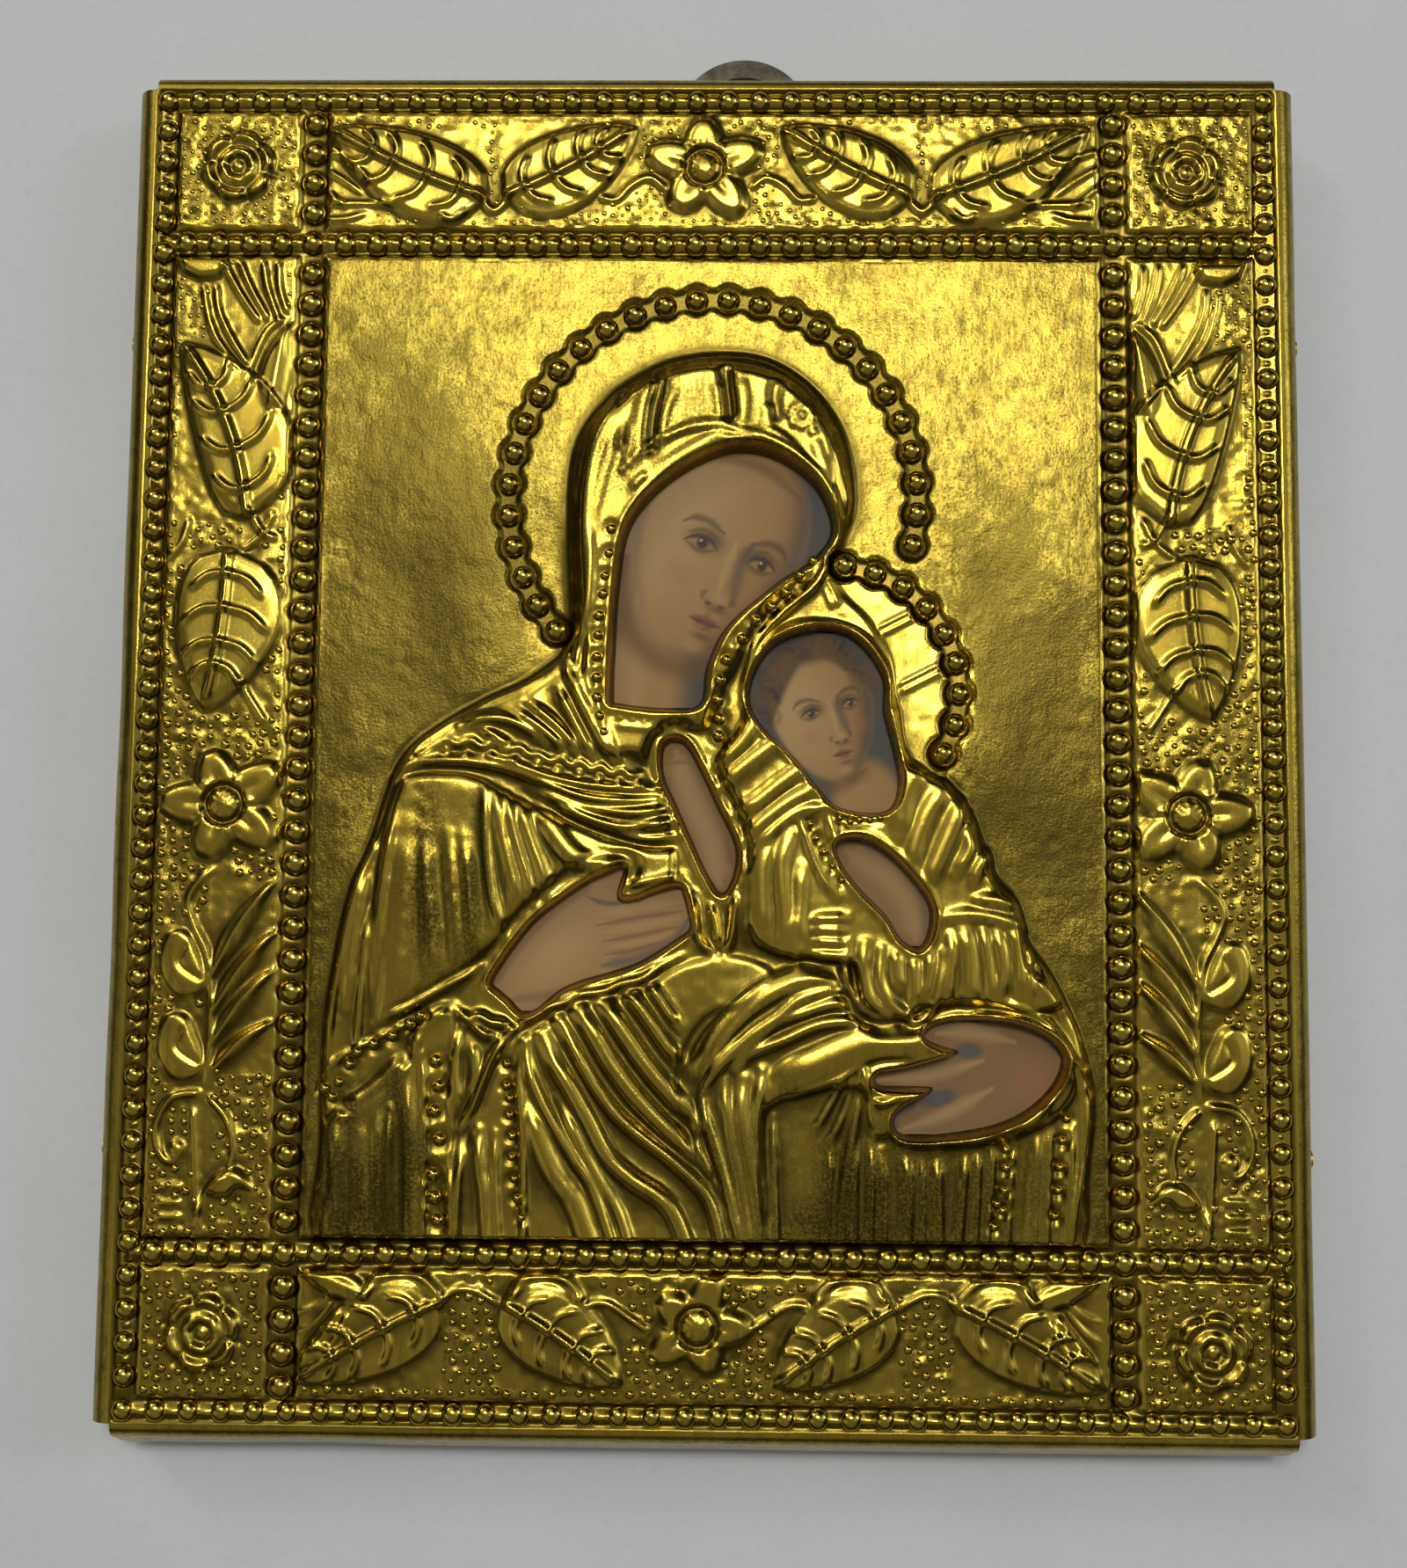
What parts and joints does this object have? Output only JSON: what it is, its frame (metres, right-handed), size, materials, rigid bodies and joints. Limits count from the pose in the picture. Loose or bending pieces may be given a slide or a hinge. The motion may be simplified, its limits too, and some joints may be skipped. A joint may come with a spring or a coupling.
{
  "type": "metal-covered icon",
  "caption": "Icon of a printed sheet on a wooden board under a stamped brass cover with windows over the faces and hands, with a swinging hanger ring.",
  "frame": {"origin": "centre of the back face, which is the face that lies on a table or against a wall", "axes": "+X across the icon to the viewer's right, +Y up the picture towards the hanger, +Z out of the face"},
  "size_m": [0.1316, 0.158, 0.0117],
  "materials": {
    "board_wood": "bare fine-grained wood",
    "print_paper": "matt print",
    "cover_brass": "stamped, lightly tarnished",
    "pin_brass": "bright",
    "backing_card": "matt grey-brown card",
    "hanger_metal": "dull, darkened",
    "nail_steel": "plain"
  },
  "bodies": {
    "root": {"wooden_board": "board_wood", "printed_sheet": "print_paper", "brass_cover": "cover_brass", "cover_pins": "pin_brass", "backing_card": "backing_card", "hanger_nail": "nail_steel"},
    "hanger": {"hanger_plate": "hanger_metal"}
  },
  "joints": [
    {"name": "hanger_swing", "type": "hinge", "parent": "root", "child": "hanger", "pos_m": [0, 0.0621, 0.00085], "axis": [0, 0, 1], "range_deg": [-6.4, 41.6]}
  ]
}
